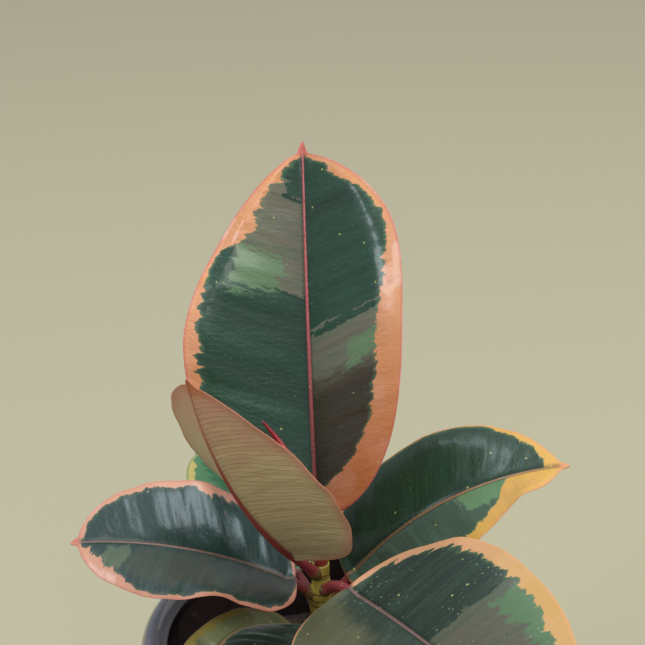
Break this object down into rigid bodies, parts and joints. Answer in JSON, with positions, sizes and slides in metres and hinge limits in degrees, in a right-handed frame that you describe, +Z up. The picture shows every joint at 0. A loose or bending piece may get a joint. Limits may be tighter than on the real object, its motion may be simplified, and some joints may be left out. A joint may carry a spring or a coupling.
{
  "type": "potted rubber plant",
  "caption": "Young variegated rubber plant with broad cupped leaves on a short stem, standing in a round glazed pot with a thick rolled lip.",
  "frame": {"origin": "middle of the pot's flat underside, where it stands", "axes": "+Z up along the pot's axis; -Y is the front, towards the viewer; +X is the viewer's right"},
  "size_m": [0.1589, 0.1791, 0.2645],
  "materials": {
    "glaze": "dark aubergine-brown gloss glaze",
    "soil": "moist dark potting mix, rough",
    "stem": "olive green skin with brown ring scars",
    "sheath": "smooth dark red, satin",
    "leaf": "waxy gloss, dark green with grey-green patches and salmon to yellow margins"
  },
  "bodies": {
    "root": {"pot": "glaze", "soil": "soil", "stem": "stem", "bud_sheath": "sheath", "leaf_upright": "leaf", "leaf_young": "leaf", "leaf_left": "leaf", "leaf_right": "leaf", "leaf_front_right": "leaf", "leaf_front": "leaf", "leaf_low": "leaf", "leaf_rear": "leaf"}
  },
  "joints": []
}
